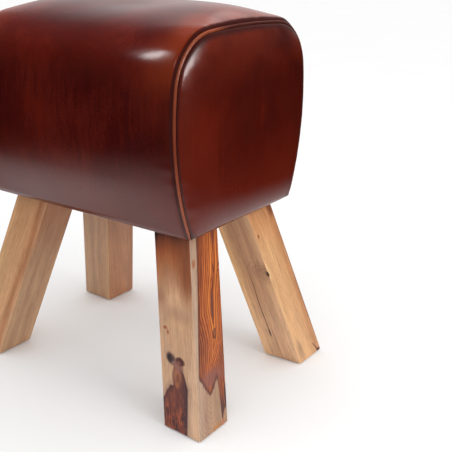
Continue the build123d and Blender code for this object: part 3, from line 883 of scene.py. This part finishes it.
def far_leg_woods():
    """The wood of the two left legs, by node."""
    stripes = (
        (-1.0, 174, 135, 102), (-0.6, 185, 146, 110), (-0.3, 168, 127, 96),
        (0.0, 187, 146, 110), (0.3, 172, 131, 98), (0.6, 185, 141, 106), (1.0, 195, 152, 112),
    )
    brown = (
        (-1.0, 177, 122, 84), (-0.4, 171, 115, 77), (0.2, 178, 122, 84), (0.7, 163, 108, 74),
        (0.9, 169, 110, 67), (1.0, 130, 88, 61),
    )
    honey = (
        (-1.0, 206, 160, 114), (-0.3, 190, 144, 100), (0.3, 200, 150, 106), (0.7, 170, 112, 72),
        (1.0, 196, 150, 110),
    )
    return {
        node: striped_leg_wood(node, LEFT, side_y, front, side, shade_tint)
        for node, side_y, front, side, shade_tint in (
            ("leg_back_left", BACK, stripes, brown, (122, 76, 52)),
            ("leg_front_left", FRONT, honey, stripes, (160, 96, 56)),
        )
    }


# ---------- camera, lights and floor

CAMERA_PLACE = (0.7156, -0.8160, 0.5764)
CAMERA_HEADING = math.radians(125.08)  # which way it looks, from +X towards +Y
CAMERA_FALL = math.radians(19.59)  # how far it looks down
CAMERA_ROLL = math.radians(0.72)
CAMERA_LENS = 64.73

EVEN_LIGHT = 1.04
REFLECTED_LIGHT = 0.85
BRIGHT_WALL = (-0.50, 0.80, 0.33)  # the direction of the wall that reflections see
WALL_FALL_OFF = ((0.15, 0.015), (0.6, 0.14), (0.86, 0.33), (0.97, 1.0))  # nearer the wall: brighter

SURROUND_RADIUS = 0.9
SURROUND_TOP = 0.56
SURROUND_FADE = 0.16  # the height over which it fades out, below its top
CLEAR_FLOOR = 0.32  # the radius within which it leaves the floor clear
FLOOR_REACH = 12.0

WRAP_SHOULDER = (0.135, -0.129, 0.456)  # this and the next two: where the glint lights point
PANEL_SHOULDER = (0.173, -0.120, 0.442)
TOP_EDGE = (0.165, 0, 0.48)


def make_camera():
    """The camera stands to the front right, a little above the seat, and looks down at the stool."""
    look = Vector((math.cos(CAMERA_HEADING), math.sin(CAMERA_HEADING), 0.0)) * math.cos(CAMERA_FALL)
    look.z = -math.sin(CAMERA_FALL)
    level = Vector((math.sin(CAMERA_HEADING), -math.cos(CAMERA_HEADING), 0.0))
    up = level.cross(look)
    right = level * math.cos(CAMERA_ROLL) + up * math.sin(CAMERA_ROLL)
    up = up * math.cos(CAMERA_ROLL) - level * math.sin(CAMERA_ROLL)
    data = bpy.data.cameras.new("camera")
    data.sensor_width = 36.0
    data.lens = CAMERA_LENS
    camera = bpy.data.objects.new("camera", data)
    camera.matrix_world = Matrix((right, up, -look)).transposed().to_4x4()
    camera.location = CAMERA_PLACE
    bpy.context.scene.collection.objects.link(camera)
    bpy.context.scene.camera = camera


def softbox(name, towards, distance, size, power, middle=(0, 0, 0.35)):
    """A rectangular area light that faces a place on the stool, its middle, from one direction."""
    data = bpy.data.lights.new(name, "AREA")
    data.shape = "RECTANGLE"
    data.size, data.size_y = size
    data.energy = power
    light = bpy.data.objects.new(name, data)
    direction = Vector(towards).normalized()
    light.location = Vector(middle) + direction * distance
    light.rotation_euler = direction.to_track_quat("Z", "Y").to_euler()
    bpy.context.scene.collection.objects.link(light)
    return light


def make_floor():
    """A wide pale floor, very slightly clouded."""
    g = Graph("floor_paper")
    tone = g.noise(g.place, 3.0, 3.0)
    g.set(Base_Color=g.mix(tone, (0.95, 0.95, 0.95), (0.98, 0.98, 0.98)), Roughness=0.9)
    g.set(Specular_IOR_Level=0.1)
    signs = ((-1, -1), (1, -1), (1, 1), (-1, 1))
    corners = [(x * FLOOR_REACH, y * FLOOR_REACH, 0) for x, y in signs]
    new_mesh("floor", corners, [(0, 1, 2, 3)], g.material, smooth=False)


def make_dark_surround():
    """A dark bowl round the set that only reflections see; it fades out inwards and upwards."""
    g = Graph("dark_surround")
    x, y, z = g.split(g.place)
    from_middle = (x.squared() + y.squared()).root()
    shown = from_middle.step(CLEAR_FLOOR, SURROUND_RADIUS)
    shown = shown * z.step(SURROUND_TOP, SURROUND_TOP - SURROUND_FADE)
    g.set(Base_Color=(0.010, 0.008, 0.008), Roughness=1.0, Specular_IOR_Level=0.0, Alpha=shown)
    around = 96
    low = 0.002  # just above the floor
    rings = ((CLEAR_FLOOR, low), (SURROUND_RADIUS, low), (SURROUND_RADIUS, SURROUND_TOP))
    points = []
    for radius, height in rings:
        for k in range(around):
            angle = 2 * math.pi * k / around
            points.append((radius * math.cos(angle), radius * math.sin(angle), height))
    faces = grid_faces(len(rings), around, close_columns=True)
    bowl = new_mesh("dark_surround", points, faces, g.material, smooth=False)
    bowl.visible_camera = False
    bowl.visible_diffuse = False
    bowl.visible_shadow = False
    bowl.visible_transmission = False


def make_world():
    """Even white light; in reflections the room is dark but for a bright wall behind the stool."""
    world = bpy.data.worlds.new("studio")
    world.use_nodes = True
    tree = world.node_tree
    tree.nodes.clear()
    add = tree.nodes.new
    place = add("ShaderNodeTexCoord")
    towards_wall = add("ShaderNodeVectorMath")
    towards_wall.operation = "DOT_PRODUCT"
    towards_wall.inputs[1].default_value = BRIGHT_WALL
    fall_off = add("ShaderNodeValToRGB")
    stops = fall_off.color_ramp.elements
    for k, (position, level) in enumerate(WALL_FALL_OFF):
        stop = stops.new(position) if k else stops[0]
        stop.position = position
        stop.color = (level, level, level, 1)
    reflected = add("ShaderNodeBackground")
    reflected.inputs["Strength"].default_value = REFLECTED_LIGHT
    even = add("ShaderNodeBackground")
    even.inputs["Color"].default_value = (1, 1, 1, 1)
    even.inputs["Strength"].default_value = EVEN_LIGHT
    path = add("ShaderNodeLightPath")
    mixed = add("ShaderNodeMixShader")
    output = add("ShaderNodeOutputWorld")
    for start, end in (
        (place.outputs["Generated"], towards_wall.inputs[0]),
        (towards_wall.outputs["Value"], fall_off.inputs["Fac"]),
        (fall_off.outputs["Color"], reflected.inputs["Color"]),
        (path.outputs["Is Glossy Ray"], mixed.inputs["Fac"]),
        (even.outputs[0], mixed.inputs[1]),
        (reflected.outputs[0], mixed.inputs[2]),
        (mixed.outputs[0], output.inputs["Surface"]),
    ):
        tree.links.new(start, end)
    bpy.context.scene.world = world


def make_light():
    """The world, a neutral view and a soft key light from the right."""
    make_world()
    bpy.context.scene.view_settings.view_transform = "Standard"
    key = softbox("key", (0.90, 0.0, 0.35), 1.8, (1.0, 0.8), 9.0)
    key.visible_glossy = False


def light_only(light, pieces):
    """Keeps a light to some of the pieces."""
    lit = bpy.data.collections.new(light.name + "_receivers")
    for piece in pieces:
        lit.objects.link(piece)
    light.light_linking.receiver_collection = lit


def light_the_leather(wrap, ends):
    """Lights for the leather alone: one above and behind it, and four that only give glints."""
    overhead = softbox("overhead", (-0.30, 0.35, 0.89), 2.0, (1.2, 1.2), 95.0)
    overhead.visible_glossy = False
    light_only(overhead, [wrap, *ends])
    for name, towards, distance, size, power, middle, lit in (
        ("wrap_glint", (-0.52, -0.42, 0.74), 0.20, (0.015, 0.06), 0.085, WRAP_SHOULDER, [wrap]),
        ("seam_glint", (0.11, -0.66, 0.75), 1.6, (0.18, 0.18), 0.8, WRAP_SHOULDER, [wrap, *ends]),
        ("panel_glint", (0.94, 0.24, 0.25), 1.6, (0.90, 0.45), 15.0, PANEL_SHOULDER, ends),
        ("lip_glint", (-0.15, 0.78, 0.61), 1.6, (0.90, 0.50), 1.2, TOP_EDGE, [wrap]),
    ):
        glint = softbox(name, towards, distance, size, power, middle)
        glint.visible_diffuse = False
        light_only(glint, lit)


# ---------- the build


def finish_cad(node, material):
    """Gives a CAD piece its material."""
    slots = nodes[node].data.materials
    slots.clear()
    slots.append(material)


def sawn_wood(name, along, dark, light):
    """Plain sawn wood with its grain along one axis (0, 1 or 2)."""
    g = Graph(name)
    scale = [1.0, 1.0, 1.0]
    scale[along] = 0.04
    rings = g.noise(g.stretch(g.place, tuple(scale)), 45.0, 2.0, 0.5, 0.6)
    fibres = g.noise(g.stretch(g.place, tuple(scale)), 500.0, 4.0, 0.7)
    lines = (rings * 9).wave() * 0.5 + (fibres - 0.5) * 1.2 + 0.25
    g.set(Base_Color=g.mix(lines, srgb(*light), srgb(*dark)), Roughness=fibres * 0.2 + 0.55)
    g.set(Normal=g.bump(lines, 0.0002, 0.5))
    return g.material


def plywood(name, through):
    """Birch plywood: veneer on its faces and thin plies on its edges; through is the thin axis."""
    g = Graph(name)
    place = g.split(g.place)
    normal = g.split(g.add("ShaderNodeTexCoord").outputs["Normal"])
    scale = [1.0, 1.0, 1.0]
    scale[1 if through != 1 else 0] = 0.05
    veneer = g.noise(g.stretch(g.place, tuple(scale)), 110.0, 4.0, 0.6, 0.8)
    face = g.mix(veneer.step(0.3, 0.7), srgb(216, 184, 140), srgb(188, 150, 104))
    plies = (place[through] * 330).wave().step(0.3, 0.7)
    edge = g.mix(plies, srgb(206, 170, 124), srgb(132, 92, 58))
    on_face = abs(normal[through]).step(0.5, 0.7)
    g.set(Base_Color=g.mix(on_face, edge, face), Roughness=veneer * 0.2 + 0.5)
    g.set(Normal=g.bump(veneer, 0.0001, 0.4))
    return g.material


def zinc_steel(name):
    """Bright zinc plating with a faint spangle and fine scratches."""
    g = Graph(name)
    spangle = g.cells(g.place, 700.0)
    scratches = g.noise(g.stretch(g.place, (1.0, 1.0, 0.1)), 900.0, 3.0)
    colour = g.mix(spangle, (0.46, 0.48, 0.50), (0.66, 0.66, 0.64))
    g.set(Base_Color=colour, Metallic=1.0, Roughness=scratches * 0.25 + 0.22)
    g.set(Normal=g.bump(scratches, 0.00003, 0.4))
    return g.material


def felt(name):
    """Pressed brown felt: fibres in every direction."""
    g = Graph(name)
    fuzz = g.noise(g.place, 900.0, 5.0, 0.8, 2.0)
    tufts = g.noise(g.place, 160.0, 3.0)
    colour = g.mix(fuzz * 0.7 + tufts * 0.3, srgb(70, 52, 40), srgb(134, 108, 86))
    g.set(Base_Color=colour, Roughness=tufts * 0.1 + 0.88, Sheen_Weight=0.3, Sheen_Roughness=0.5)
    g.set(Normal=g.bump(fuzz, 0.0006, 0.8))
    return g.material


def cover_cloth(name):
    """Thin black woven cloth."""
    g = Graph(name)
    x, y = g.split(g.place)[:2]
    weave = (x * 900).wave() * 0.5 + (y * 900).wave() * 0.5
    lint = g.noise(g.place, 240.0, 4.0, 0.7)
    shade = weave * 0.5 + lint * 0.5
    g.set(Base_Color=g.mix(shade, srgb(20, 19, 19), srgb(58, 55, 53)), Roughness=lint * 0.2 + 0.75)
    g.set(Normal=g.bump(weave, 0.0003, 0.6))
    return g.material


def make_cover(material):
    """The dust cover: a sheet stretched under the body, cut out round the legs, a little slack."""
    reach = LEG_HALF + COVER_LEG_GAP
    legs = []
    for across, side_x in (("right", RIGHT), ("left", LEFT)):
        for depth, side_y in (("front", FRONT), ("back", BACK)):
            axes, height = leg_axes(f"leg_{depth}_{across}", side_x, side_y)
            legs.append([foot - lean * BODY_BOTTOM / height for foot, lean in axes])
    lines = []
    for axis, start, end in ((0, cover_low.x, cover_high.x), (1, cover_low.y, cover_high.y)):
        marks = [leg[axis] + way * reach for leg in legs for way in (-1, 1)]
        marks = [mark for mark in marks if start < mark < end]
        even = [m for m in np.linspace(start, end, 50)[1:-1] if all(abs(m - k) > 1e-3 for k in marks)]
        lines.append(sorted(set([start, end] + [round(m, 5) for m in marks + even])))
    points = []
    for x in lines[0]:
        for y in lines[1]:
            rise_x = 1 - (x / cover_high.x) ** 2
            rise_y = 1 - (y / cover_high.y) ** 2
            slack = COVER_SAG * rise_x * rise_y * (1 + 0.6 * wander(x, y, 0, 22.0, 31.0))
            points.append((x, y, BODY_BOTTOM - COVER_DROP - slack))
    columns = len(lines[1])
    faces = []
    for face in grid_faces(len(lines[0]), columns):
        x, y = (sum(points[k][axis] for k in face) / 4 for axis in (0, 1))
        if all(max(abs(x - leg[0]), abs(y - leg[1])) > reach for leg in legs):
            faces.append(face)
    piece = new_mesh("dust_cover_cloth", points, faces, material)
    bm = bmesh.new()
    bm.from_mesh(piece.data)
    bmesh.ops.delete(bm, geom=[v for v in bm.verts if not v.link_faces], context="VERTS")
    area = sum(face.calc_area() for face in bm.faces)
    bm.to_mesh(piece.data)
    bm.free()
    thicken(piece, COVER_CLOTH)
    return piece, area


make_camera()
make_light()
make_floor()
make_dark_surround()

wrap_leather = leather(
    "wrap_leather",
    ((0.022, 0.0006, 0.0002), (0.046, 0.0010, 0.0002), (0.100, 0.0060, 0.0006), (0.15, 0.017, 0.002)),
    clouding=1.4,
    # lighter along the shoulders: partly wear, partly painted light
    shoulder=0.5,
    # the wrap's edge in the seam is painted dark as shade
    groove=(END_X, -0.0016, -0.0006, 0.0),
)
panel_leather = leather(
    "panel_leather",
    ((0.028, 0.0007, 0.0001), (0.052, 0.0022, 0.0002), (0.112, 0.0072, 0.0004), (0.14, 0.013, 0.003)),
    clouding=1.0,
    # front paints the panel lighter at the front and darker on top, as painted light and shade
    front=0.8,
    # the groove's painted shade reaches further out on top
    groove=(PANEL_FOOT_X, 0.0036, 0.0010, 0.0024),
)
# with no groove, the piping's top from the middle back is painted dark as shade
welt_leather = leather(
    "welt_leather",
    ((0.09, 0.011, 0.004), (0.16, 0.030, 0.011), (0.25, 0.060, 0.025), (0.22, 0.050, 0.020)),
)

ends = []
wrap = make_wrap(wrap_leather)
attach(wrap, "root")
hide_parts("leather_wrap", "foam_top", "foam_side_front", "foam_side_back")
for side, name in ((RIGHT, "right"), (LEFT, "left")):
    panel = make_panel(side, name, panel_leather)
    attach(panel, "root")
    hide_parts(f"leather_end_{name}", f"foam_end_{name}")
    welt = make_welt(side, name, welt_leather)
    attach(welt, "root")
    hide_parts(f"welt_{name}", f"welt_cord_{name}")
    ends += [panel, welt]
light_the_leather(wrap, ends)

cloth, cloth_area = make_cover(cover_cloth("cover_cloth"))
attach(cloth, "root")
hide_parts("dust_cover")

pine = ((186, 138, 84), (228, 192, 140))
looks = {
    "rail": sawn_wood("rail_softwood", 0, *pine),
    "leg_beam": sawn_wood("beam_softwood", 1, *pine),
    "leg_dowels": sawn_wood("dowel_beech", 0, (176, 122, 78), (214, 168, 122)),
    "deck_screws": zinc_steel("deck_screw_zinc"),
    "deck": plywood("deck_plywood", 2),
    "centre_former": plywood("former_plywood", 0),
    "felt_pads": felt("felt_brown"),
    "side_board": plywood("board_plywood", 1),
}
looks["end_former"] = looks["centre_former"]
steel = zinc_steel("zinc_plate")  # for all the other fittings
for node, piece in nodes.items():
    if not piece.hide_render:
        kind = next((kind for kind in looks if kind in node), None)
        finish_cad(node, looks[kind] if kind else steel)
leg_woods = {
    "leg_front_right": near_leg_wood(),
    "leg_back_right": back_leg_wood(),
    **far_leg_woods(),
}
for node, material in leg_woods.items():
    finish_cad(node, material)
